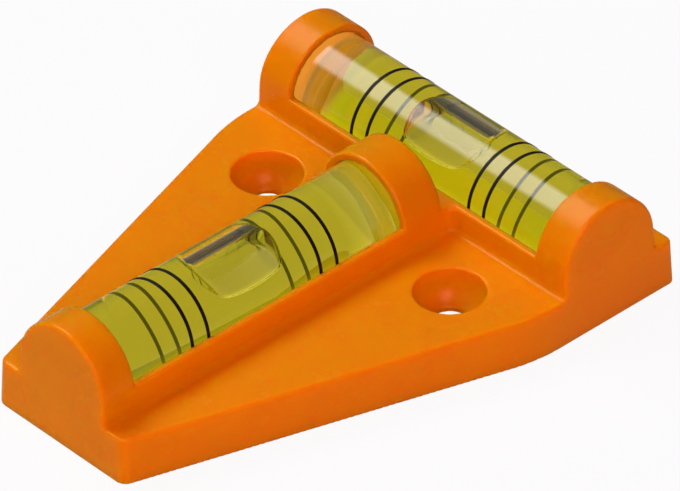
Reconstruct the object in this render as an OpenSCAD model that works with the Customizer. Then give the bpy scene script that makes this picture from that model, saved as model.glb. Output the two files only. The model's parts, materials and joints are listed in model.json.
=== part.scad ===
// Two-way spirit level for screwing down: a moulded wedge-shaped housing, hollow underneath,
// with one barrel vial along it and one across its wide end.
// The narrow end faces -Y, the plate's rim stands on Z = 0, and the origin is under the middle.

/* [Base plate] */
// Length from the narrow end to the wide end
base_length = 72; // [68:0.5:90]
// Width across the wide end
wide_width = 53; // [50:0.5:66]
// Width across the narrow end
narrow_width = 21.3; // [19:0.1:30]
// Length of the parallel sides next to the wide end
parallel_length = 22; // [18:0.5:26]
// Height of the plate's top face
plate_height = 6.1; // [5.2:0.1:7.5]
// Thickness of the plate's top skin
skin = 1.9; // [1.4:0.1:2.4]
// Thickness of the outer walls at the rim
wall = 2; // [1.5:0.1:2.6]
// Lean of the outer walls, in degrees
draft = 2.4; // [0:0.1:4]
// Radius of the upright corners
corner_r = 1; // [0.5:0.1:2]

/* [Vial housings] */
// Thickness of the arch over a vial
arch_wall = 1; // [0.8:0.1:1.6]
// Height of the vials' axes above the rim
axis_height = 8.9; // [8.4:0.1:11]
// Height of the side rails above the vials' axes
rail_rise = 0.6; // [0:0.1:1]
// Depth of plate left behind the cross housing
rear_ledge = 3.2; // [2:0.1:6]
// Length of the step between the inner post and the cross housing
step_length = 1.6; // [0.6:0.1:4]
// Radius where the long housing meets the cross housing
join_r = 1.4; // [0.6:0.1:2.4]
// Thickness of the front post beyond the vial's pocket
front_face = 1.7; // [1.2:0.1:3]
// Thickness of the inner post beyond the vial's pocket
inner_face = 2.1; // [1.2:0.1:3]
// Thickness of the side posts beyond the vial's pocket
side_face = 1.9; // [1.2:0.1:3]
// Length of a vial that is seated in each post
vial_seat = 3.4; // [2:0.1:4]

/* [Screw holes] */
// Distance between the two screw holes
hole_spacing = 31; // [27:0.5:36]
// Distance from the cross housing to the screw holes
hole_offset = 8.3; // [6.5:0.1:12]
// Diameter of a screw hole
hole_d = 4.6; // [4:0.1:5.4]
// Diameter of a screw head's recess
head_d = 8.5; // [8:0.1:10]
// Depth of a screw head's recess
head_depth = 2.9; // [2:0.1:3.2]
// Wall of the boss around a screw hole
boss_wall = 2.3; // [1.5:0.1:3]
// Height of the boss's lower end above the rim
boss_lift = 1.2; // [0.6:0.1:1.8]

/* [Vials] */
// Outer diameter of a vial
vial_d = 12; // [10.5:0.1:13]
// Wall of a vial at its middle
tube_wall = 1.2; // [0.8:0.1:1.4]
// Thickness of a vial's closed end
end_wall = 1.6; // [1:0.1:3]
// Length of the cap outside the tube
cap_flange = 4.2; // [2:0.1:6]
// Length of the cap inside the tube
cap_spigot = 2.9; // [1.5:0.1:4]
// Lengthwise radius of the barrel-shaped bore
barrel_r = 1000; // [600:50:3000]
// Length of the air bubble
bubble_length = 11.4; // [8:0.1:12]
// Depth of the air bubble below the bore's crown
bubble_depth = 3; // [2.2:0.1:3.4]

/* [Marks] */
// Distance from a vial's middle to its inner marks
mark_inner = 8.7; // [7:0.1:10]
// Distance between neighbouring marks
mark_pitch = 2.5; // [1.5:0.1:3]
// Width of a printed mark
mark_width = 0.45; // [0.3:0.05:0.8]
// Thickness of the printed ink
ink = 0.05; // [0.03:0.01:0.06]

/* [Adhesive] */
// Length of an adhesive bead along the vial
bead_length = 2; // [1.4:0.1:3]
// Height of a bead's underside above the rim
bead_lift = 2.2; // [1.2:0.1:2.6]
// Height of a bead's top edge below the vial's axis
bead_drop = 3; // [2:0.1:4]

/* [Clearances] */
// Gap between a vial and its housing
vial_gap = 0.1; // [0.08:0.01:0.2]
// Gap beyond each end of a vial
end_gap = 0.3; // [0.1:0.05:0.6]
// Gap between a bubble and what it passes
bubble_gap = 0.15; // [0.1:0.01:0.3]

/* [Hidden] */
$fn = 96;

corner_turn = 9;      // degrees that each facet of an upright corner turns
barrel_steps = 12;    // facets along the barrel-shaped bore
over = 1;             // how far a cut runs past the face it opens
sliver = 0.01;        // thickness of the two outlines that span the envelope

housing_colour = [0.9, 0.42, 0.06];
acrylic_colour = [0.92, 0.93, 0.85, 0.4];
liquid_colour = [0.68, 0.72, 0.12, 0.8];
air_colour = [0.95, 0.97, 0.85, 0.7];
ink_colour = [0.06, 0.06, 0.05];
adhesive_colour = [0.92, 0.88, 0.74];

front_y = -base_length / 2;
rear_y = base_length / 2;
slant = atan2((wide_width - narrow_width) / 2, base_length - parallel_length);

vial_r = vial_d / 2;
channel_r = vial_r + vial_gap;
arch_r = channel_r + arch_wall;
rail_height = axis_height + rail_rise;
top_height = axis_height + arch_r;

// Posts hold a vial's end, a gap beyond it and a closed face
front_post = vial_seat + end_gap + front_face;
inner_post = vial_seat + end_gap + inner_face;
side_post = vial_seat + end_gap + side_face;

cross_y = rear_y - rear_ledge - arch_r;
cross_front = cross_y - arch_r;
cross_window = wide_width - 2 * side_post;
inner_back = cross_front - step_length;
long_window = inner_back - inner_post - (front_y + front_post);
long_y = front_y + front_post + long_window / 2;

cross_half = cross_window / 2 + vial_seat;
long_half = long_window / 2 + vial_seat;

hole_y = cross_front - hole_offset;
hole_x = hole_spacing / 2;
boss_r = hole_d / 2 + boss_wall;
hollow_height = plate_height - skin;

bore_r = vial_r - tube_wall;
bubble_half = bubble_length / 2;
// The bubble slides straight, so it stays under the bore's crown at the far end of its travel
bubble_r = bore_r - barrel_drop(max(cross_half, long_half) - end_wall) - bubble_gap;
bubble_floor = bubble_r - bubble_depth;
liquid_level = bubble_floor - bubble_gap;

mark_outer = mark_inner + mark_pitch;
mark_places = [-mark_outer, -mark_inner, mark_inner, mark_outer];

// How far the barrel's wall has closed in at a distance from its middle
function barrel_drop(u) = barrel_r - sqrt(barrel_r * barrel_r - u * u);

// Ends of the liquid's space, from the vial's middle: cap side and closed side
function cap_face(half) = -half + cap_flange + cap_spigot;
function closed_face(half) = half - end_wall;

// Points on a corner's arc about its centre, between two angles
function corner_arc(centre, from, to) =
    let (steps = ceil((to - from) / corner_turn))
    [
        for (i = [0 : steps])
            let (angle = from + (to - from) * i / steps)
            centre + corner_r * [cos(angle), sin(angle)]
    ];

// The plate's outline, moved inwards by an inset, with round corners
module plan(inset) {
    d = inset + corner_r;
    front = [narrow_width / 2 - d * tan(45 - slant / 2), front_y + d];
    kink = [wide_width / 2 - d, rear_y - parallel_length + d * tan(slant / 2)];
    rear = [wide_width / 2 - d, rear_y - d];
    flip = function (p) [-p.x, p.y];
    polygon(concat(
        corner_arc(front, -90, -slant),
        corner_arc(kink, -slant, 0),
        corner_arc(rear, 0, 90),
        corner_arc(flip(rear), 90, 180),
        corner_arc(flip(kink), 180, 180 + slant),
        corner_arc(flip(front), 180 + slant, 270)
    ));
}

// Everything inside the leaning outer walls
module envelope() {
    hull() {
        translate([0, 0, -sliver]) linear_extrude(sliver) plan(0);
        translate([0, 0, top_height + over])
            linear_extrude(sliver) plan((top_height + over) * tan(draft));
    }
}

// Arched block along X, standing on the rim
module arch_block(from, to, radius) {
    translate([from, 0, 0]) rotate([90, 0, 90]) linear_extrude(to - from) {
        translate([0, axis_height]) circle(radius);
        translate([-radius, 0]) square([2 * radius, axis_height]);
    }
}

// Space for a vial along X, open towards the rim and above the rails
module vial_space(half, window) {
    reach = half + end_gap;
    arch_block(-reach, reach, channel_r);
    translate([-reach, -channel_r, -over]) cube([2 * reach, 2 * channel_r, 2 * over]);
    translate([-window / 2, -arch_r - over, rail_height])
        cube([window, 2 * (arch_r + over), top_height]);
}

// Round corner between the long and the cross housing, on the right-hand side
module housing_join() {
    corner = [arch_r, cross_front];
    linear_extrude(rail_height) difference() {
        translate(corner + [-over, -join_r]) square([join_r + over, join_r + over]);
        translate(corner + [join_r, -join_r]) circle(join_r);
    }
}

// One open hollow under the plate, with a boss in it around each screw hole
module hollow() {
    difference() {
        translate([0, 0, -over]) linear_extrude(hollow_height + over) plan(wall);
        both_sides() translate([hole_x, hole_y, boss_lift]) cylinder(r = boss_r, h = plate_height);
    }
}

module screw_hole() {
    head_floor = plate_height - head_depth;
    translate([0, 0, -over]) cylinder(d = hole_d, h = plate_height + 2 * over);
    translate([0, 0, head_floor]) cylinder(d1 = hole_d, d2 = head_d, h = head_depth);
    translate([0, 0, plate_height]) cylinder(d = head_d, h = over);
}

module both_sides() {
    children();
    mirror([1, 0, 0]) children();
}

// Places for the two vials: each is made along X with its cap on the -X side
module at_cross() {
    translate([0, cross_y, 0]) children();
}

module at_long() {
    translate([0, long_y, 0]) rotate([0, 0, -90]) children();
}

module housing() {
    color(housing_colour) difference() {
        intersection() {
            envelope();
            union() {
                translate([-wide_width, front_y - over, 0])
                    cube([2 * wide_width, base_length + 2 * over, plate_height]);
                at_cross() arch_block(-wide_width, wide_width, arch_r);
                at_long() arch_block(long_y - inner_back, base_length, arch_r);
                translate([-arch_r, inner_back - over, 0])
                    cube([2 * arch_r, step_length + 2 * over, rail_height]);
                both_sides() housing_join();
            }
        }
        at_cross() vial_space(cross_half, cross_window);
        at_long() vial_space(long_half, long_window);
        hollow();
        both_sides() translate([hole_x, hole_y, 0]) screw_hole();
    }
}

// Round bar along X at the vial's axis
module bar(from, to, radius) {
    translate([from, 0, axis_height]) rotate([0, 90, 0]) cylinder(r = radius, h = to - from);
}

// Barrel-shaped space along X, widest at the vial's middle
module barrel(from, to) {
    walls = [
        for (i = [0 : barrel_steps])
            let (u = from + (to - from) * i / barrel_steps)
            [bore_r - barrel_drop(u), u]
    ];
    translate([0, 0, axis_height]) rotate([0, 90, 0])
        rotate_extrude() polygon(concat([[0, from]], walls, [[0, to]]));
}

module vial_tube(half) {
    mouth = -half + cap_flange;
    color(acrylic_colour) difference() {
        bar(mouth, half, vial_r);
        bar(mouth - over, cap_face(half), bore_r);
        barrel(cap_face(half), closed_face(half));
    }
}

module vial_cap(half) {
    mouth = -half + cap_flange;
    color(acrylic_colour) union() {
        bar(-half, mouth, vial_r);
        bar(mouth - over, cap_face(half), bore_r);
    }
}

// Liquid below the level that leaves the bubble its whole track
module vial_liquid(half) {
    color(liquid_colour) intersection() {
        barrel(cap_face(half), closed_face(half));
        translate([-half, -vial_r, 0]) cube([2 * half, vial_d, axis_height + liquid_level]);
    }
}

// Air bubble: round in plan, flat below, arched like the bore above
module vial_bubble() {
    color(air_colour) intersection() {
        bar(-bubble_half, bubble_half, bubble_r);
        translate([0, 0, axis_height + bubble_floor]) cylinder(r = bubble_half, h = vial_d);
    }
}

module mark_ring(place) {
    color(ink_colour) difference() {
        bar(place - mark_width / 2, place + mark_width / 2, vial_r + ink);
        bar(place - mark_width, place + mark_width, vial_r);
    }
}

// Bead of adhesive that cradles a vial's end, against the post's face and the channel's sides
module adhesive_bead(from) {
    bead_height = axis_height - bead_drop - bead_lift;
    color(adhesive_colour) difference() {
        translate([from, -channel_r, bead_lift]) cube([bead_length, 2 * channel_r, bead_height]);
        bar(from - over, from + bead_length + over, vial_r);
    }
}

housing();
at_cross() vial_tube(cross_half);  // cross_tube
at_cross() vial_cap(cross_half);  // cross_cap
at_cross() vial_liquid(cross_half);  // cross_liquid
at_cross() vial_bubble();  // cross_bubble
at_cross() mark_ring(mark_places[0]);  // cross_ring_1
at_cross() mark_ring(mark_places[1]);  // cross_ring_2
at_cross() mark_ring(mark_places[2]);  // cross_ring_3
at_cross() mark_ring(mark_places[3]);  // cross_ring_4
at_cross() adhesive_bead(-cross_half - end_gap);  // cross_cap_adhesive
at_cross() adhesive_bead(cross_half + end_gap - bead_length);  // cross_end_adhesive
at_long() vial_tube(long_half);  // long_tube
at_long() vial_cap(long_half);  // long_cap
at_long() vial_liquid(long_half);  // long_liquid
at_long() vial_bubble();  // long_bubble
at_long() mark_ring(mark_places[0]);  // long_ring_1
at_long() mark_ring(mark_places[1]);  // long_ring_2
at_long() mark_ring(mark_places[2]);  // long_ring_3
at_long() mark_ring(mark_places[3]);  // long_ring_4
at_long() adhesive_bead(-long_half - end_gap);  // long_cap_adhesive
at_long() adhesive_bead(long_half + end_gap - bead_length);  // long_end_adhesive
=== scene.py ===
import json
import math

import bmesh
import bpy
import numpy as np
from mathutils import Euler, Matrix, Vector


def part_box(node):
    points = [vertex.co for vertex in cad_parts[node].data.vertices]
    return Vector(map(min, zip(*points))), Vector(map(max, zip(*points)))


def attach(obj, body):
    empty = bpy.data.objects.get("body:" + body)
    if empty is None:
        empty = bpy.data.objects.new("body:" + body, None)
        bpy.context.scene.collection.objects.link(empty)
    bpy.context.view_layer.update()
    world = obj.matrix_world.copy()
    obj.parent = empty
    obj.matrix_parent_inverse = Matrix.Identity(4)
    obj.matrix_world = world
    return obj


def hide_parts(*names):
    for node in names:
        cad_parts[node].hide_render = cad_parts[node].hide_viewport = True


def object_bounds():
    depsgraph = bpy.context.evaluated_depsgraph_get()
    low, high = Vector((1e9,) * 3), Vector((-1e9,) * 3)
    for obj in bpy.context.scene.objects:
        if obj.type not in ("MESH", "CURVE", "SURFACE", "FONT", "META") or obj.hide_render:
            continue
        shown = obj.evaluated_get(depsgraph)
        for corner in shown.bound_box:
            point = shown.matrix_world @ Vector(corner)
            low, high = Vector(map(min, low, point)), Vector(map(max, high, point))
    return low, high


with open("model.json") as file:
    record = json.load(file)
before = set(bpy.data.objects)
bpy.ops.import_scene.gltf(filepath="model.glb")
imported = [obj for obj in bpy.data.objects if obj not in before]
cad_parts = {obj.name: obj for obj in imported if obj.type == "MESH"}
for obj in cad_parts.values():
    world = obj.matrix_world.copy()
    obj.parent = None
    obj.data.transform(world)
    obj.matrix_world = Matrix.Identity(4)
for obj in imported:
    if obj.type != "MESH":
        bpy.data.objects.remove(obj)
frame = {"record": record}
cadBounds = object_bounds()
scene = bpy.context.scene
scene.view_settings.view_transform = "Standard"
mm = 0.001  # the shapes below are in millimetres, Blender is in metres


def nodeBox(*names):  # lowest and highest corner of some CAD nodes, in millimetres
    boxes = [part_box(name) for name in names]
    low = [min(box[0][i] for box in boxes) / mm for i in range(3)]
    high = [max(box[1][i] for box in boxes) / mm for i in range(3)]
    return np.array(low), np.array(high)


def addPiece(name, mesh, material, body, replaced):
    piece = bpy.data.objects.new(name, mesh)
    scene.collection.objects.link(piece)
    if not mesh.materials:
        mesh.materials.append(material)
    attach(piece, body)
    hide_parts(*replaced)
    return piece


# Shapes as distances: below zero is inside the piece

def both(a, b, radius):  # what lies in both shapes, with its edge rounded
    corner = np.hypot(np.maximum(a + radius, 0), np.maximum(b + radius, 0))
    return np.minimum(np.maximum(a, b), -radius) + corner


def either(a, b, radius):  # two shapes joined, with a fillet between them
    corner = np.hypot(np.maximum(radius - a, 0), np.maximum(radius - b, 0))
    return np.maximum(np.minimum(a, b), radius) - corner


def without(a, b, radius):  # the first shape with the second cut out of it
    return both(a, -b, radius)


def archDistance(across, height, axisHeight, radius):  # upright legs with a half round on top
    return np.where(height > axisHeight, np.hypot(across, height - axisHeight), np.abs(across)) - radius


def slopeOf(distance, points, reach=0.002):  # by how much the distance grows along X, Y and Z
    slope = np.empty_like(points)
    for axis in range(3):
        shift = np.zeros(3)
        shift[axis] = reach
        slope[:, axis] = distance(*(points + shift).T) - distance(*(points - shift).T)
    return slope / (2 * reach)


def settle(distance, points, rounds=4):  # moves points along the slope until they lie on the shape
    for _ in range(rounds):
        slope = slopeOf(distance, points)
        size = np.maximum((slope ** 2).sum(1), 0.25)  # a flat slope would throw a point far off
        points = points - slope * (distance(*points.T) / size)[:, None]
    return points


def netOverGrid(distance, low, high, step):  # one point in each grid cell that the surface crosses
    margin = 1.37 * step  # no whole number of steps, so that the lowest faces lie between grid planes
    axes = [np.arange(a - margin, b + margin + step, step) for a, b in zip(low, high)]
    field = distance(axes[0][:, None, None], axes[1][None, :, None], axes[2][None, None, :])
    inside = field < 0
    cells = tuple(n - 1 for n in field.shape)
    corners = [(i, j, k) for i in (0, 1) for j in (0, 1) for k in (0, 1)]
    count = np.zeros(cells, np.int8)
    for i, j, k in corners:
        count += inside[i:i + cells[0], j:j + cells[1], k:k + cells[2]]
    crossed = np.argwhere((count > 0) & (count < 8))
    total = np.zeros((len(crossed), 3))
    hits = np.zeros(len(crossed))
    for start in corners:
        for axis in range(3):
            if start[axis]:
                continue
            a = crossed + start
            b = a.copy()
            b[:, axis] += 1
            valueA = field[tuple(a.T)]
            valueB = field[tuple(b.T)]
            change = (valueA < 0) != (valueB < 0)
            share = np.where(change, valueA / np.where(change, valueA - valueB, 1), 0)
            place = a.astype(float)
            place[:, axis] += share
            total += place * change[:, None]
            hits += change
    origin = np.array([axis[0] for axis in axes])
    points = origin + total / hits[:, None] * step
    number = np.full(cells, -1, np.int64)
    number[tuple(crossed.T)] = np.arange(len(crossed))
    faces = []
    for axis in range(3):
        u, v = (axis + 1) % 3, (axis + 2) % 3
        ahead = np.moveaxis(inside, (axis, u, v), (0, 1, 2))
        cell = np.moveaxis(number, (axis, u, v), (0, 1, 2))
        leaves = ahead[:-1, 1:-1, 1:-1] & ~ahead[1:, 1:-1, 1:-1]
        enters = ~ahead[:-1, 1:-1, 1:-1] & ahead[1:, 1:-1, 1:-1]
        ring = [cell[:, :-1, :-1], cell[:, 1:, :-1], cell[:, 1:, 1:], cell[:, :-1, 1:]]
        faces.append(np.stack([part[leaves] for part in ring], 1))
        faces.append(np.stack([part[enters] for part in ring[::-1]], 1))
    return points, np.concatenate(faces)


def meshFromDistance(name, distance, low, high, step, flatWithin=0.15):
    points, faces = netOverGrid(distance, low, high, step)
    points = settle(distance, points)
    mesh = bpy.data.meshes.new(name)
    mesh.from_pydata((points * mm).tolist(), [], faces.tolist())
    bm = bmesh.new()
    bm.from_mesh(mesh)
    bmesh.ops.dissolve_limit(bm, angle_limit=math.radians(flatWithin), verts=bm.verts, edges=bm.edges)
    bm.to_mesh(mesh)
    bm.free()
    places = np.empty(len(mesh.vertices) * 3)
    mesh.vertices.foreach_get("co", places)
    normals = slopeOf(distance, places.reshape(-1, 3) / mm)
    normals /= np.linalg.norm(normals, axis=1)[:, None]
    mesh.shade_smooth()
    mesh.normals_split_custom_set_from_vertices(normals.tolist())
    print(name, "made from", len(faces), "cells, kept", len(mesh.polygons), "faces")
    return mesh


# Materials

def newMaterial(name):
    material = bpy.data.materials.new(name)
    material.use_nodes = True
    return material, material.node_tree, material.node_tree.nodes["Principled BSDF"]


def setInputs(node, **values):
    for key, value in values.items():
        node.inputs[key.replace("_", " ")].default_value = value


def addMath(tree, operation, *values):  # each value is a socket or a number
    node = tree.nodes.new("ShaderNodeMath")
    node.operation = operation
    for socket, value in zip(node.inputs, values):
        if isinstance(value, (int, float)):
            socket.default_value = value
        else:
            tree.links.new(value, socket)
    return node.outputs["Value"]


def placeParts(tree):  # X, Y and Z on a piece, in metres
    place = tree.nodes.new("ShaderNodeTexCoord")
    parts = tree.nodes.new("ShaderNodeSeparateXYZ")
    tree.links.new(place.outputs["Object"], parts.inputs["Vector"])
    return parts.outputs


def showMix(tree, factor, first, second):  # the material's surface is a mix of two shaders
    mix = tree.nodes.new("ShaderNodeMixShader")
    tree.links.new(factor, mix.inputs["Fac"])
    tree.links.new(first.outputs[0], mix.inputs[1])
    tree.links.new(second.outputs[0], mix.inputs[2])
    tree.links.new(mix.outputs["Shader"], tree.nodes["Material Output"].inputs["Surface"])


def grainGroup():  # fine and broad unevenness of a moulded or poured surface
    group = bpy.data.node_groups.new("surfaceGrain", "ShaderNodeTree")
    for name in ("Fine Scale", "Broad Scale"):
        group.interface.new_socket(name, in_out="INPUT", socket_type="NodeSocketFloat")
    for name in ("Fine", "Broad"):
        group.interface.new_socket(name, in_out="OUTPUT", socket_type="NodeSocketFloat")
    source = group.nodes.new("NodeGroupInput")
    result = group.nodes.new("NodeGroupOutput")
    place = group.nodes.new("ShaderNodeTexCoord")
    for name, detail in (("Fine", 3.0), ("Broad", 4.0)):
        noise = group.nodes.new("ShaderNodeTexNoise")
        noise.inputs["Detail"].default_value = detail
        group.links.new(place.outputs["Object"], noise.inputs["Vector"])
        group.links.new(source.outputs[name + " Scale"], noise.inputs["Scale"])
        group.links.new(noise.outputs["Fac"], result.inputs[name])
    return group


surfaceGrain = grainGroup()


def addGrain(tree, fineScale, broadScale):
    node = tree.nodes.new("ShaderNodeGroup")
    node.node_tree = surfaceGrain
    node.inputs["Fine Scale"].default_value = fineScale
    node.inputs["Broad Scale"].default_value = broadScale
    return node


def fadeOver(tree, source, start, end, low=0.0, high=1.0):  # a smooth change from start to end
    node = tree.nodes.new("ShaderNodeMapRange")
    node.interpolation_type = "SMOOTHSTEP"
    setInputs(node, From_Min=start, From_Max=end, To_Min=low, To_Max=high)
    tree.links.new(source, node.inputs["Value"])
    return node.outputs["Result"]


noiseReach = (0.3, 0.7)  # most of a noise texture lies in here


def mapNoise(tree, source, low, high):
    node = tree.nodes.new("ShaderNodeMapRange")
    setInputs(node, From_Min=noiseReach[0], From_Max=noiseReach[1], To_Min=low, To_Max=high)
    tree.links.new(source, node.inputs["Value"])
    return node.outputs["Result"]


def mixColour(tree, factor, first, second):
    node = tree.nodes.new("ShaderNodeMix")
    node.data_type = "RGBA"
    tree.links.new(factor, node.inputs["Factor"])
    for socket, value in ((node.inputs["A"], first), (node.inputs["B"], second)):
        if isinstance(value, tuple):
            socket.default_value = (*value, 1)
        else:
            tree.links.new(value, socket)
    return node.outputs["Result"]


# Painted light: a glow on what is seen through the vials, in place of the light they carry
paintedGlowLook = {
    "throughPlastic": (0.40, 0.19, 0.03),
    "postReach": (-0.0250, -0.0230),  # along X in metres, at the cross vial's cap
    "vialReach": (0.0165, 0.0185),    # along Y, between the two vials
}


def paintedGlowGroup():  # painted glow in place of the light under the vials: orange at the outer post, else the liquid's
    look = paintedGlowLook
    group = bpy.data.node_groups.new("paintedCarriedLight", "ShaderNodeTree")
    for name in ("Through Plastic", "Under Long", "Under Cross"):
        group.interface.new_socket(name, in_out="INPUT", socket_type="NodeSocketColor")
    group.interface.new_socket("Color", in_out="OUTPUT", socket_type="NodeSocketColor")
    source = group.nodes.new("NodeGroupInput")
    result = group.nodes.new("NodeGroupOutput")
    place = placeParts(group)
    wide = fadeOver(group, place["Y"], *look["vialReach"])
    liquid = mixColour(group, wide, source.outputs["Under Long"], source.outputs["Under Cross"])
    inner = fadeOver(group, place["X"], *look["postReach"])
    colour = mixColour(group, inner, source.outputs["Through Plastic"], liquid)
    group.links.new(colour, result.inputs["Color"])
    return group


paintedCarriedLight = paintedGlowGroup()


def paintGlowInVials(tree, shader, paintedGlow):  # painted glow in place of the carried light, shown only on what is seen through a vial
    node = tree.nodes.new("ShaderNodeGroup")
    node.node_tree = paintedCarriedLight
    colours = (paintedGlowLook["throughPlastic"], *paintedGlow)
    for name, colour in zip(("Through Plastic", "Under Long", "Under Cross"), colours):
        node.inputs[name].default_value = (*colour, 1)
    path = tree.nodes.new("ShaderNodeLightPath")
    glow = mixColour(tree, path.outputs["Is Transmission Ray"], (0.0, 0.0, 0.0), node.outputs["Color"])
    tree.links.new(glow, shader.inputs["Emission Color"])
    shader.inputs["Emission Strength"].default_value = 1.0


def addBump(tree, height, shader, strength, distance):
    node = tree.nodes.new("ShaderNodeBump")
    setInputs(node, Strength=strength, Distance=distance)
    tree.links.new(height, node.inputs["Height"])
    tree.links.new(node.outputs["Normal"], shader.inputs["Normal"])


def mottle(tree, shader, grain, colour, deeper):  # broad patches of two near colours
    share = mapNoise(tree, grain.outputs["Broad"], 0.0, 1.0)
    tree.links.new(mixColour(tree, share, colour, deeper), shader.inputs["Base Color"])


def roughen(tree, shader, noise, roughness):
    tree.links.new(mapNoise(tree, noise, *roughness), shader.inputs["Roughness"])


plasticLook = {
    "colour": (0.82, 0.318, 0.0),
    "deeper": (0.79, 0.292, 0.0),
    "roughness": (0.24, 0.29),
    "grain": (4200.0, 160.0),  # fine and broad
    "bump": (0.08, 0.00005),   # strength, and depth in metres
    "ior": 1.45,
    "shine": 0.3,
    "sheen": (1.0, 0.7, 0.35),
    "depth": 0.0022,           # how far light spreads in it, in metres
    "spread": (1.0, 0.22, 0.03),
    "paintedGlow": ((0.17, 0.23, 0.0), (0.42, 0.44, 0.0)),  # painted glow under the long and the cross vial, seen only through them
}


def makePlastic():
    look = plasticLook
    material, tree, shader = newMaterial("orangePlastic")
    grain = addGrain(tree, *look["grain"])
    mottle(tree, shader, grain, look["colour"], look["deeper"])
    roughen(tree, shader, grain.outputs["Broad"], look["roughness"])
    addBump(tree, grain.outputs["Fine"], shader, *look["bump"])
    setInputs(shader, IOR=look["ior"], Specular_IOR_Level=look["shine"], Specular_Tint=(*look["sheen"], 1))
    setInputs(shader, Subsurface_Weight=1.0, Subsurface_Scale=look["depth"])
    shader.inputs["Subsurface Radius"].default_value = look["spread"]
    paintGlowInVials(tree, shader, look["paintedGlow"])
    return material


def passLamps(tree, shader, colour):  # lamps and bounced light reach what is behind a clear piece
    path = tree.nodes.new("ShaderNodeLightPath")
    passed = addMath(tree, "MAXIMUM", path.outputs["Is Shadow Ray"], path.outputs["Is Diffuse Ray"])
    clear = tree.nodes.new("ShaderNodeBsdfTransparent")
    clear.inputs["Color"].default_value = (*colour, 1)
    showMix(tree, passed, shader, clear)


acrylicLook = {
    "colour": (0.985, 0.99, 0.97),
    "passed": (0.97, 0.97, 0.97),  # what a wall lets through of a lamp
    "roughness": (0.0, 0.03),
    "grain": (900.0, 90.0),
    "ior": 1.49,
}


def makeAcrylic():
    look = acrylicLook
    material, tree, shader = newMaterial("clearAcrylic")
    grain = addGrain(tree, *look["grain"])
    roughen(tree, shader, grain.outputs["Broad"], look["roughness"])
    setInputs(shader, Base_Color=(*look["colour"], 1), Transmission_Weight=1.0, IOR=look["ior"])
    passLamps(tree, shader, look["passed"])
    return material


def makeWelded():  # faces where acrylic meets acrylic, adhesive or liquid of about the same index
    material, tree, shader = newMaterial("weldedAcrylic")
    clear = tree.nodes.new("ShaderNodeBsdfTransparent")
    tree.links.new(clear.outputs["BSDF"], tree.nodes["Material Output"].inputs["Surface"])
    tree.nodes.remove(shader)
    return material


liquidLook = {
    "colour": (0.99, 0.99, 0.9),
    "passed": (0.97, 0.97, 0.8),
    "tint": (0.93, 0.92, 0.72),
    "density": 400.0,
    "glow": (0.093, 0.087, 0.0045),  # painted glow in place of the dye's fluorescence, seen on the bore's lower half
    "glowReach": (0.0082, 0.0095),   # heights in metres over which it fades out
}


def makeLiquid():
    look = liquidLook
    material, tree, shader = newMaterial("levelLiquid")
    setInputs(shader, Base_Color=(*look["colour"], 1), Transmission_Weight=1.0, IOR=1.0, Roughness=0.0)
    inside = tree.nodes.new("ShaderNodeVolumeAbsorption")
    setInputs(inside, Color=(*look["tint"], 1), Density=look["density"])
    tree.links.new(inside.outputs["Volume"], tree.nodes["Material Output"].inputs["Volume"])
    # painted glow, fading out above the bore's lower half
    above = fadeOver(tree, placeParts(tree)["Z"], *look["glowReach"])
    tree.links.new(mixColour(tree, above, look["glow"], (0.0, 0.0, 0.0)), shader.inputs["Emission Color"])
    shader.inputs["Emission Strength"].default_value = 1.0
    material.cycles.emission_sampling = "NONE"  # the painted glow is seen, but lights nothing else
    passLamps(tree, shader, look["passed"])
    return material


airLook = {
    "ior": 1 / acrylicLook["ior"],   # air as seen from the liquid
    "softReach": (-0.0015, 0.0003),  # across the vial in metres, where its lower face turns soft
    "softness": (0.06, 0.45),
    "glow": (0.34, 0.30, 0.03),      # painted light in place of what the liquid gathers at the bubble's edges
    "glowReach": (0.0026, 0.0040),   # to both sides of the middle, in metres
}


def makeAir(name, soft):  # the soft one is for the bubble's lower face, with painted light at its edges
    look = airLook
    material, tree, shader = newMaterial(name)
    glass = tree.nodes.new("ShaderNodeBsdfGlass")
    setInputs(glass, Color=(1, 1, 1, 1), Roughness=0.0, IOR=look["ior"])
    seen = glass
    if soft:
        place = tree.nodes.new("ShaderNodeAttribute")
        place.attribute_name = "nearSide"
        across = place.outputs["Fac"]
        roughness = fadeOver(tree, across, *look["softReach"], *look["softness"])
        tree.links.new(roughness, glass.inputs["Roughness"])
        # painted light at the bubble's edges
        glow = tree.nodes.new("ShaderNodeEmission")
        glow.inputs["Color"].default_value = (*look["glow"], 1)
        edge = fadeOver(tree, addMath(tree, "ABSOLUTE", across), *look["glowReach"])
        tree.links.new(edge, glow.inputs["Strength"])
        seen = tree.nodes.new("ShaderNodeAddShader")
        tree.links.new(glass.outputs["BSDF"], seen.inputs[0])
        tree.links.new(glow.outputs["Emission"], seen.inputs[1])
    passLamps(tree, seen, (1, 1, 1))
    tree.nodes.remove(shader)
    return material


inkLook = {
    "colour": (0.004, 0.004, 0.003),
    "thin": (0.009, 0.009, 0.007),
    "roughness": (0.45, 0.6),
    "grain": (2500.0, 500.0),
    "shine": 0.2,
}


def makeInk():
    look = inkLook
    material, tree, shader = newMaterial("blackInk")
    grain = addGrain(tree, *look["grain"])
    mottle(tree, shader, grain, look["colour"], look["thin"])
    roughen(tree, shader, grain.outputs["Fine"], look["roughness"])
    shader.inputs["Specular IOR Level"].default_value = look["shine"]
    return material


adhesiveLook = {
    "colour": (0.42, 0.36, 0.08),
    "deeper": (0.36, 0.30, 0.06),
    "roughness": (0.18, 0.35),
    "grain": (1200.0, 350.0),
    "bump": (0.2, 0.0003),
    # painted glow under the long and the cross vial, seen only through them
    "paintedGlow": ((0.26, 0.26, 0.0), (0.36, 0.16, 0.0)),
}


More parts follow.
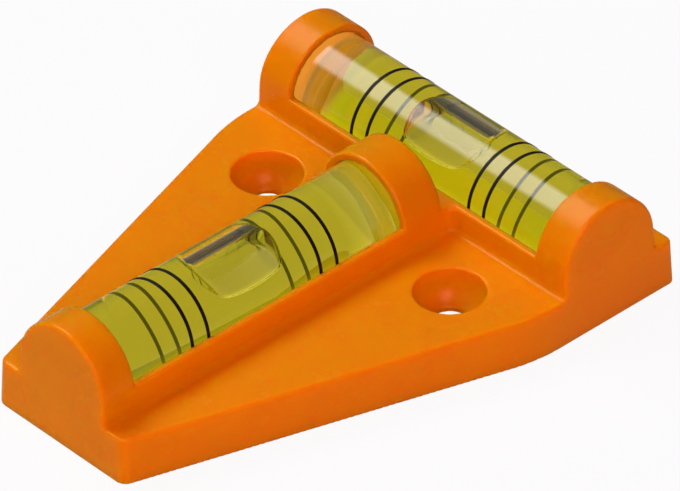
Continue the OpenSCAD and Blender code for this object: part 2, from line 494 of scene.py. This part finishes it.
def makeAdhesive():
    look = adhesiveLook
    material, tree, shader = newMaterial("hotMeltAdhesive")
    grain = addGrain(tree, *look["grain"])
    mottle(tree, shader, grain, look["colour"], look["deeper"])
    roughen(tree, shader, grain.outputs["Fine"], look["roughness"])
    addBump(tree, grain.outputs["Broad"], shader, *look["bump"])
    paintGlowInVials(tree, shader, look["paintedGlow"])
    return material


plastic = makePlastic()
acrylic = makeAcrylic()
welded = makeWelded()
liquid = makeLiquid()
air = makeAir("airBubble", False)
surface = makeAir("airSurface", True)
ink = makeInk()
adhesive = makeAdhesive()
print("materials made")

# Housing

vials = {}
for vialName, along in (("cross", 0), ("long", 1)):
    low, high = nodeBox(vialName + "_tube", vialName + "_cap")
    vials[vialName] = {
        "along": along,
        "middle": (low + high) / 2,
        "half": (high - low)[along] / 2,
        "radius": (high - low)[2] / 2,
    }

housingForm = {
    "step": 0.26,            # size of the net's cells
    "narrowWidth": 21.3,
    "parallelLength": 22.0,
    "plateHeight": 6.1,
    "skin": 1.9,
    "wall": 2.0,
    "draft": 2.4,            # degrees
    "cornerRound": 1.0,
    "channelGap": 0.1,
    "archWall": 1.0,
    "railRise": 0.6,
    "vialSeat": 3.4,
    "endGap": 0.3,
    "innerPost": 5.8,
    "joinRound": 1.4,
    "headRadius": 4.25,
    "headDepth": 2.9,
    "bossWall": 2.3,
    "bossLift": 1.2,
    "edgeRound": 0.42,
    "railRound": 0.6,
    "postRound": 0.3,
    "innerRound": 0.12,
    "footFillet": 0.7,
    "postFillet": 0.3,
    "rimRound": 0.25,
    "bowlRound": 0.35,
    "undersideRound": 0.2,
    "hollowFillet": 0.5,
    "holeRound": 0.1,
    "seatRound": 0.2,        # where a vial's channel ends in its post
}


def makeHousing():
    form = housingForm
    low, high = nodeBox("housing")
    lean = math.radians(form["draft"])
    wide = high[0]
    frontY, rearY = low[1], high[1]
    narrow = form["narrowWidth"] / 2
    kinkY = rearY - form["parallelLength"]
    slant = math.atan2(wide - narrow, kinkY - frontY)
    cross, along = vials["cross"], vials["long"]
    axisHeight = cross["middle"][2]
    channel = cross["radius"] + form["channelGap"]
    arch = channel + form["archWall"]
    railHeight = axisHeight + form["railRise"]
    crossY = cross["middle"][1]
    crossWindow = cross["half"] - form["vialSeat"]
    windowFront = along["middle"][1] - along["half"] + form["vialSeat"]
    windowBack = along["middle"][1] + along["half"] - form["vialSeat"]
    postBack = windowBack + form["innerPost"]
    holes = frame["record"]["mounts"][0]
    holeX = holes["dims"]["spacing_x_mm"] / 2
    holeY = holes["pos_m"][1] / mm
    holeRadius = holes["dims"]["hole_r_mm"]
    headFloor = form["plateHeight"] - form["headDepth"]
    bowlUp = (form["headRadius"] ** 2 - holeRadius ** 2 - form["headDepth"] ** 2) / (2 * form["headDepth"])
    bowlHeight = form["plateHeight"] - bowlUp
    bowlRadius = math.hypot(form["headRadius"], bowlUp)

    def outline(x, y, inset, radius):  # the wedge with parallel sides at its wide end
        side = np.abs(x) - wide + inset
        slanted = (np.abs(x) - wide) * math.cos(slant) - (y - kinkY) * math.sin(slant) + inset
        ends = np.maximum(frontY - y, y - rearY) + inset
        return both(both(side, slanted, radius), ends, radius)

    def rails(x, y):  # plan of the two vial housings, with round inner corners
        return either(np.abs(x) - arch + 0 * y, np.abs(y - crossY) - arch + 0 * x, form["joinRound"])

    def distance(x, y, z):
        x, y, z = np.asarray(x, float), np.asarray(y, float), np.asarray(z, float)
        plan = np.maximum(rails(x, y), y - crossY - arch)
        lower = both(plan, z - railHeight, form["railRound"])
        gap = np.minimum(np.maximum(windowFront - y, y - windowBack), postBack - y)
        longOpen = both(railHeight - z, gap, form["postFillet"])
        longArch = without(archDistance(x, z, axisHeight, arch), longOpen, form["postRound"])
        longArch = np.maximum(longArch, y - crossY)
        crossOpen = both(railHeight - z, np.abs(x) - crossWindow, form["postFillet"])
        crossArch = without(archDistance(y - crossY, z, axisHeight, arch), crossOpen, form["postRound"])
        upper = np.minimum(np.minimum(lower, longArch), crossArch)
        body = either(z - form["plateHeight"] + 0 * upper, upper, form["footFillet"])
        shell = outline(x, y, z * math.tan(lean), form["cornerRound"]) * math.cos(lean)
        body = both(body, shell, form["edgeRound"])
        body = both(body, -z + 0 * body, form["undersideRound"])

        crossEnds = np.abs(x) - cross["half"] - form["endGap"]
        crossSpace = both(archDistance(y - crossY, z, axisHeight, channel), crossEnds, form["seatRound"])
        longEnds = np.abs(y - along["middle"][1]) - along["half"] - form["endGap"]
        longSpace = both(archDistance(x, z, axisHeight, channel), longEnds, form["seatRound"])
        body = without(body, np.minimum(crossSpace, longSpace), form["innerRound"])

        hollow = outline(x, y, form["wall"], form["cornerRound"])
        hollow = both(hollow, z - form["plateHeight"] + form["skin"], form["hollowFillet"])
        fromHole = np.hypot(np.abs(x) - holeX, y - holeY)
        boss = both(fromHole - holeRadius - form["bossWall"], form["bossLift"] - z, form["undersideRound"])
        hollow = without(hollow, boss, form["hollowFillet"])
        body = without(body, hollow, form["undersideRound"])

        bowl = np.hypot(fromHole, z - bowlHeight) - bowlRadius
        bowl = np.minimum(bowl, np.maximum(fromHole - form["headRadius"], bowlHeight - z))
        recess = either(bowl, fromHole - holeRadius + 0 * z, form["bowlRound"])
        return without(body, recess, np.where(z > headFloor, form["rimRound"], form["holeRound"]))

    return meshFromDistance("housing_shell", distance, low, high, form["step"])


addPiece("housing_shell", makeHousing(), plastic, "level", ["housing"])

# Vials

vialForm = {
    "segments": 128,
    "lengthSteps": 48,
    "film": 0.01,            # between the liquid and the bore
    "endRound": 0.35,
    "barrelRadius": 1000.0,
    "sharpFrom": math.radians(35),  # edges turned more than this stay sharp
}

bubbleForm = {
    "step": 0.11,
    "endRound": 0.6,
    "rimRound": 0.5,
    "sagRadius": 22.0,       # of the liquid's surface under it
    "lowerFace": -0.1,       # faces that look down more than this are that surface
}

beadForm = {
    "step": 0.14,
    "edgeRound": 0.5,
    "sideRound": 0.1,
    "seatRound": 0.2,
    "wave": 0.22,            # how far its free faces rise and fall
    "inset": 0.25,           # room for that inside the bead's box
    "waveX": (1.9, 0.7),     # turn for each millimetre, and where it starts
    "waveY": (1.6, 0.4),
}


# Turns (place, radius) points about X
# The first faces are inner ones and the last are seated in a post, and both take the second material
def lathe(name, profile, inner=0, seated=0):
    turns = vialForm["segments"]
    bm = bmesh.new()
    rings = []
    for place, radius in profile:
        if radius == 0:
            rings.append([bm.verts.new((place * mm, 0, 0))])
            continue
        angles = [2 * math.pi * i / turns for i in range(turns)]
        rings.append([bm.verts.new((place * mm, radius * mm * math.cos(a), radius * mm * math.sin(a)))
                      for a in angles])
    for number, (first, second) in enumerate(zip(rings, rings[1:])):
        for i in range(turns):
            quad = [first[i % len(first)], first[(i + 1) % len(first)],
                    second[(i + 1) % len(second)], second[i % len(second)]]
            face = bm.faces.new(list(dict.fromkeys(quad)))
            face.material_index = int(number < inner or number >= len(profile) - 1 - seated)
    bmesh.ops.recalc_face_normals(bm, faces=bm.faces)
    mesh = bpy.data.meshes.new(name)
    bm.to_mesh(mesh)
    bm.free()
    mesh.shade_smooth()
    mesh.set_sharp_from_angle(angle=vialForm["sharpFrom"])
    return mesh


def roundCorner(centre, radius, start, end, steps=6):
    angles = [math.radians(start + (end - start) * i / steps) for i in range(steps + 1)]
    return [(centre[0] + radius * math.cos(a), centre[1] + radius * math.sin(a)) for a in angles]


def placeAlong(mesh, vial):  # pieces are made along X with the cap on the -X side
    turn = Matrix.Rotation(-math.pi / 2 * vial["along"], 4, "Z")
    mesh.transform(Matrix.Translation(Vector(vial["middle"]) * mm) @ turn)
    mesh.update()


def barrel(bore, start, end):  # the bore is widest in its middle, so the bubble comes to rest there
    curve = vialForm["barrelRadius"]
    places = np.linspace(start, end, vialForm["lengthSteps"] + 1)
    return [(u, bore - curve + math.sqrt(curve ** 2 - u ** 2)) for u in places]


def bubbleMesh(name, half, radius, floor):  # a slug of air under the bore's crown
    form = bubbleForm
    sag = form["sagRadius"]

    def distance(x, y, z):
        x, y, z = (np.asarray(value, float) for value in (x, y, z))
        crown = np.hypot(y, z) - radius + 0 * x
        ends = np.hypot(x, y) - half + 0 * z
        below = np.sqrt(x ** 2 + y ** 2 + (z - floor - sag) ** 2) - sag
        return both(both(crown, ends, form["endRound"]), below, form["rimRound"])

    low = np.array([-half, -half, floor])
    high = np.array([half, half, radius])
    return meshFromDistance(name, distance, low, high, form["step"])


def ringTree():  # printed bands in two sets, mirrored about the vial's middle
    tree = bpy.data.node_groups.new("printedRings", "GeometryNodeTree")
    tree.interface.new_socket("Geometry", in_out="OUTPUT", socket_type="NodeSocketGeometry")
    for name in ("Radius", "Thickness", "Width", "Inner Place", "Pitch"):
        tree.interface.new_socket(name, in_out="INPUT", socket_type="NodeSocketFloat")
    tree.interface.new_socket("Ink", in_out="INPUT", socket_type="NodeSocketMaterial")
    nodes, links = tree.nodes, tree.links
    source = nodes.new("NodeGroupInput")
    result = nodes.new("NodeGroupOutput")
    circle = nodes.new("GeometryNodeCurvePrimitiveCircle")
    circle.inputs["Resolution"].default_value = vialForm["segments"]
    links.new(source.outputs["Radius"], circle.inputs["Radius"])
    band = nodes.new("GeometryNodeCurvePrimitiveQuadrilateral")
    links.new(source.outputs["Thickness"], band.inputs["Width"])
    links.new(source.outputs["Width"], band.inputs["Height"])
    sweep = nodes.new("GeometryNodeCurveToMesh")
    links.new(circle.outputs["Curve"], sweep.inputs["Curve"])
    links.new(band.outputs["Curve"], sweep.inputs["Profile Curve"])
    turned = nodes.new("GeometryNodeTransform")
    turned.inputs["Rotation"].default_value = Euler((0, math.pi / 2, 0))
    links.new(sweep.outputs["Mesh"], turned.inputs["Geometry"])
    join = nodes.new("GeometryNodeJoinGeometry")
    for side in (1, -1):
        start = nodes.new("ShaderNodeCombineXYZ")
        offset = nodes.new("ShaderNodeCombineXYZ")
        for name, vector in (("Inner Place", start), ("Pitch", offset)):
            links.new(addMath(tree, "MULTIPLY", source.outputs[name], side), vector.inputs["X"])
        row = nodes.new("GeometryNodeMeshLine")
        row.inputs["Count"].default_value = 2
        links.new(start.outputs["Vector"], row.inputs["Start Location"])
        links.new(offset.outputs["Vector"], row.inputs["Offset"])
        copies = nodes.new("GeometryNodeInstanceOnPoints")
        links.new(row.outputs["Mesh"], copies.inputs["Points"])
        links.new(turned.outputs["Geometry"], copies.inputs["Instance"])
        links.new(copies.outputs["Instances"], join.inputs["Geometry"])
    real = nodes.new("GeometryNodeRealizeInstances")
    inked = nodes.new("GeometryNodeSetMaterial")
    links.new(join.outputs["Geometry"], real.inputs["Geometry"])
    links.new(real.outputs["Geometry"], inked.inputs["Geometry"])
    links.new(source.outputs["Ink"], inked.inputs["Material"])
    links.new(inked.outputs["Geometry"], result.inputs["Geometry"])
    return tree


printedRings = ringTree()


def ringMesh(name, values):
    holder = bpy.data.objects.new(name + "_maker", bpy.data.meshes.new(name + "_maker"))
    scene.collection.objects.link(holder)
    modifier = holder.modifiers.new("rings", "NODES")
    modifier.node_group = printedRings
    for item in printedRings.interface.items_tree:
        if item.in_out == "INPUT":
            modifier[item.identifier] = values[item.name]
    bpy.context.view_layer.update()
    mesh = bpy.data.meshes.new_from_object(holder.evaluated_get(bpy.context.evaluated_depsgraph_get()))
    holder.modifiers.remove(modifier)
    bpy.data.objects.remove(holder)
    bm = bmesh.new()
    bm.from_mesh(mesh)
    bmesh.ops.recalc_face_normals(bm, faces=bm.faces)
    bm.to_mesh(mesh)
    bm.free()
    mesh.name = name
    mesh.shade_smooth()
    mesh.set_sharp_from_angle(angle=vialForm["sharpFrom"])
    return mesh


def beadMesh(name, low, high, vial):  # hot-melt bead under a vial's end, wavy where it was poured
    form = beadForm
    axisHeight, radius = vial["middle"][2], vial["radius"]
    along = vial["along"]
    side = 1 - along
    middle = vial["middle"][side]
    centre, span = (low + high) / 2, (high - low) / 2
    outward = np.sign(centre - vial["middle"])[along]
    turnX, startX = form["waveX"]
    turnY, startY = form["waveY"]

    def distance(x, y, z):
        place = [np.asarray(value, float) for value in (x, y, z)]
        wave = form["wave"] * np.sin(turnX * place[0] + startX) * np.sin(turnY * place[1] + startY)
        ends = np.abs(place[along] - centre[along]) - span[along]
        poured = outward * (centre[along] - place[along]) - span[along] + form["inset"] + wave
        ends = np.maximum(ends, poured)
        sides = np.abs(place[side] - centre[side]) - span[side]
        heights = np.abs(place[2] - centre[2]) - span[2] + form["inset"] + wave
        block = both(both(ends, heights, form["edgeRound"]), sides, form["sideRound"])
        seat = np.hypot(place[side] - middle, place[2] - axisHeight) - radius
        return without(block, seat, form["seatRound"])

    return meshFromDistance(name, distance, low, high, form["step"])


def makeVial(name):
    vial = vials[name]
    along, half, radius = vial["along"], vial["half"], vial["radius"]
    film, soft = vialForm["film"], vialForm["endRound"]
    sign = (1, -1)[along]  # the long vial's cap is on its +Y side

    def span(node):  # a node's two ends along the vial, from its middle, with the cap's side first
        return sorted(sign * (corner[along] - vial["middle"][along]) for corner in nodeBox(node))

    mouth = span(name + "_tube")[0]
    capFace = span(name + "_cap")[1]
    closedFace = span(name + "_liquid")[1]
    liquidLow, liquidHigh = nodeBox(name + "_liquid")
    bore = (liquidHigh - liquidLow)[1 - along] / 2

    wall = barrel(bore, capFace, closedFace)
    endArc = roundCorner((half - soft, radius - soft), soft, 90, 0)
    tube = [(closedFace, 0), *wall[::-1], (mouth, bore), (mouth, radius), *endArc, (half, 0)]
    endArc = roundCorner((-half + soft, radius - soft), soft, 90, 180)
    cap = [(capFace, 0), (capFace, bore), (mouth, bore), (mouth, radius), *endArc, (-half, 0)]
    filled = barrel(bore - film, capFace + film, closedFace - film)
    fluid = [(capFace + film, 0), *filled, (closedFace - film, 0)]

    for part, profile, inner, seated, material, slotName in (
        ("tube", tube, len(wall) + 2, len(endArc), acrylic, "acrylic"),
        ("cap", cap, 3, len(endArc), acrylic, "acrylic"),
        ("liquid", fluid, 0, 0, liquid, "liquid"),
    ):
        mesh = lathe(f"{name}_{part}_clear", profile, inner, seated)
        mesh.materials.append(material)
        if inner:
            mesh.materials.append(welded)
        placeAlong(mesh, vial)
        addPiece(mesh.name, mesh, material, "level", [f"{name}_{part}"])

    low, high = nodeBox(name + "_bubble")
    floor = low[2] - vial["middle"][2]
    crown = high[2] - vial["middle"][2]
    bubble = bubbleMesh(name + "_bubble_air", (high - low)[along] / 2, crown, floor)
    for material in (air, surface):
        bubble.materials.append(material)
    for face in bubble.polygons:
        face.material_index = int(face.normal.z < bubbleForm["lowerFace"])
    placeAlong(bubble, vial)
    near = (-1, 1)[along]  # the side of the vial that the photograph shows
    middle = vial["middle"][1 - along] * mm
    reach = [near * (point.co[1 - along] - middle) for point in bubble.vertices]
    bubble.attributes.new("nearSide", "FLOAT", "POINT").data.foreach_set("value", reach)
    addPiece(bubble.name, bubble, air, name + "_air", [name + "_bubble"])

    ringNodes = [f"{name}_ring_{i}" for i in range(1, 5)]
    places = sorted(sum(span(node)) / 2 for node in ringNodes)
    ringSpan = span(ringNodes[0])
    ringLow, ringHigh = nodeBox(ringNodes[0])
    outer = (ringHigh - ringLow)[2] / 2
    inner = radius - film
    rings = ringMesh(name + "_rings_printed", {
        "Radius": (outer + inner) / 2 * mm,
        "Thickness": (outer - inner) * mm,
        "Width": (ringSpan[1] - ringSpan[0]) * mm,
        "Inner Place": places[2] * mm,
        "Pitch": (places[3] - places[2]) * mm,
        "Ink": ink,
    })
    placeAlong(rings, vial)
    addPiece(rings.name, rings, ink, "level", ringNodes)

    for end in ("cap", "end"):
        node = f"{name}_{end}_adhesive"
        bead = beadMesh(node + "_bead", *nodeBox(node), vial)
        addPiece(bead.name, bead, adhesive, "level", [node])
    print(name, "vial made")


makeVial("cross")
makeVial("long")

# Floor, light and camera

stageLook = {
    "floorSize": 6.0,
    "floorDrop": 0.00005,
    "floorColour": 0.72,
    "floorRoughness": 0.9,
    "floorGlow": 0.93,              # share of plain white that the floor shows
    # painted light on the floor under the part, seen only through a vial
    "paintedUnderVials": (0.52, 0.44, 0.05),
    "underEdge": 0.0005,            # how far that goes past the part's box, in metres
    "dimNear": (0.40, 0.36, 0.30),  # beside the part, mirrored or seen through a vial
    "dimFar": (0.07, 0.05, 0.045),
    "dimReach": 0.05,
    "ambient": 0.06,
}


def besidePart(tree):  # how far a place on the floor is outside the part's box
    place = placeParts(tree)
    beyond = [addMath(tree, "SUBTRACT", addMath(tree, "ABSOLUTE", place[axis]), reach)
              for axis, reach in zip("XY", cadBounds[1])]
    return addMath(tree, "MAXIMUM", *beyond)


def makeFloor():
    look = stageLook
    mesh = bpy.data.meshes.new("floor")
    size, drop = look["floorSize"] / 2, -look["floorDrop"]
    corners = [(-size, -size, drop), (size, -size, drop), (size, size, drop), (-size, size, drop)]
    mesh.from_pydata(corners, [], [(0, 1, 2, 3)])
    floor = bpy.data.objects.new("floor", mesh)
    scene.collection.objects.link(floor)
    material, tree, shader = newMaterial("paleFloor")
    setInputs(shader, Base_Color=(look["floorColour"],) * 3 + (1,))
    setInputs(shader, Roughness=look["floorRoughness"], Specular_IOR_Level=0.0)
    path = tree.nodes.new("ShaderNodeLightPath")
    seen = path.outputs["Is Camera Ray"]
    for name in ("Is Glossy Ray", "Is Transmission Ray"):
        seen = addMath(tree, "MAXIMUM", seen, path.outputs[name])
    share = addMath(tree, "MULTIPLY", seen, look["floorGlow"])
    glow = tree.nodes.new("ShaderNodeEmission")
    beside = besidePart(tree)
    dimmed = mixColour(tree, fadeOver(tree, beside, 0.0, look["dimReach"]), look["dimNear"], look["dimFar"])
    # painted light under the part, seen only through a vial
    through = mixColour(tree, fadeOver(tree, beside, 0.0, look["underEdge"]), look["paintedUnderVials"], dimmed)
    mirrored = mixColour(tree, path.outputs["Is Transmission Ray"], dimmed, through)
    colour = mixColour(tree, path.outputs["Is Camera Ray"], mirrored, (1.0, 1.0, 1.0))
    tree.links.new(colour, glow.inputs["Color"])
    showMix(tree, share, shader, glow)
    mesh.materials.append(material)


def makeWorld():  # white to the camera, else a dim room
    world = bpy.data.worlds.new("studio")
    scene.world = world
    world.use_nodes = True
    tree = world.node_tree
    back = tree.nodes["Background"]
    path = tree.nodes.new("ShaderNodeLightPath")
    seen = tree.nodes.new("ShaderNodeMix")
    tree.links.new(path.outputs["Is Camera Ray"], seen.inputs["Factor"])
    setInputs(seen, A=stageLook["ambient"], B=1.0)
    setInputs(back, Color=(1, 1, 1, 1))
    tree.links.new(seen.outputs["Result"], back.inputs["Strength"])


softboxes = {
    "sideBox": {
        "towards": (-0.59, -0.05, 0.80),
        "distance": 1.0,
        "size": (0.95, 0.69),
        "radiance": 5.8,
        "colour": (1.0, 1.0, 1.0),
        "softEdge": 0.25,        # share of the box over which it fades at each edge
    },
    "frontBox": {
        "towards": (-0.10, -0.90, 0.42),
        "distance": 1.2,
        "size": (0.9, 0.6),
        "radiance": 1.6,
        "colour": (1.0, 0.82, 0.6),
        "softEdge": 0.2,
    },
    "fillCard": {
        "towards": (0.70, -0.40, 0.59),
        "distance": 1.2,
        "size": (1.0, 0.8),
        "radiance": 6.5,
        "colour": (1.0, 0.42, 0.55),
        "softEdge": 0.2,
    },
}


def fadeEdges(lamp, share):  # a softbox is brightest in its middle
    lamp.use_nodes = True
    tree = lamp.node_tree
    place = tree.nodes.new("ShaderNodeNewGeometry")
    parts = tree.nodes.new("ShaderNodeSeparateXYZ")
    tree.links.new(place.outputs["Parametric"], parts.inputs["Vector"])
    middle = 0.5  # Parametric runs from 0 to 1 over the lamp
    fades = []
    for axis in "XY":
        away = addMath(tree, "ABSOLUTE", addMath(tree, "SUBTRACT", parts.outputs[axis], middle))
        fades.append(fadeOver(tree, away, middle - share, middle, 1.0, 0.0))
    tree.links.new(addMath(tree, "MULTIPLY", *fades), tree.nodes["Emission"].inputs["Strength"])


def makeSoftbox(name, look):
    lamp = bpy.data.lights.new(name, "AREA")
    lamp.shape = "RECTANGLE"
    lamp.size, lamp.size_y = look["size"]
    lamp.energy = look["radiance"] * math.pi * lamp.size * lamp.size_y
    lamp.color = look["colour"]
    fadeEdges(lamp, look["softEdge"])
    holder = bpy.data.objects.new(name, lamp)
    scene.collection.objects.link(holder)
    holder.visible_transmission = False  # a lamp seen through a vial's end would be a hard glint
    back = Vector(look["towards"]).normalized()
    width = Vector((0, 1, 0)) if abs(back.y) < 0.5 else Vector((1, 0, 0))
    width = (width - back * width.dot(back)).normalized()
    turn = Matrix((width, back.cross(width), back)).transposed().to_4x4()
    holder.matrix_world = Matrix.Translation(back * look["distance"]) @ turn


photoView = {
    "azimuth": 47.47,        # degrees
    "elevation": 37.4575,
    "roll": -0.59,
    "aim": (0.000485, 0.007029, 0.006),  # metres, as is the distance
    "distance": 1.122874,
    "lens": 514.23,          # millimetres, as is the sensor
    "sensor": 36.0,
    "clip": (0.01, 20.0),
}


def makeCamera():
    view = photoView
    data = bpy.data.cameras.new("photoCamera")
    data.lens = view["lens"]
    data.sensor_fit = "HORIZONTAL"
    data.sensor_width = view["sensor"]
    data.clip_start, data.clip_end = view["clip"]
    camera = bpy.data.objects.new("photoCamera", data)
    scene.collection.objects.link(camera)
    turn = Matrix.Rotation(math.radians(view["azimuth"]), 4, "Z")
    tilt = Matrix.Rotation(math.radians(90 - view["elevation"]), 4, "X")
    roll = Matrix.Rotation(math.radians(view["roll"]), 4, "Z")
    back = Matrix.Translation((0, 0, view["distance"]))
    camera.matrix_world = Matrix.Translation(view["aim"]) @ turn @ tilt @ roll @ back
    scene.camera = camera


makeFloor()
makeWorld()
for boxName, boxLook in softboxes.items():
    makeSoftbox(boxName, boxLook)
makeCamera()
print("stage, light and camera made")
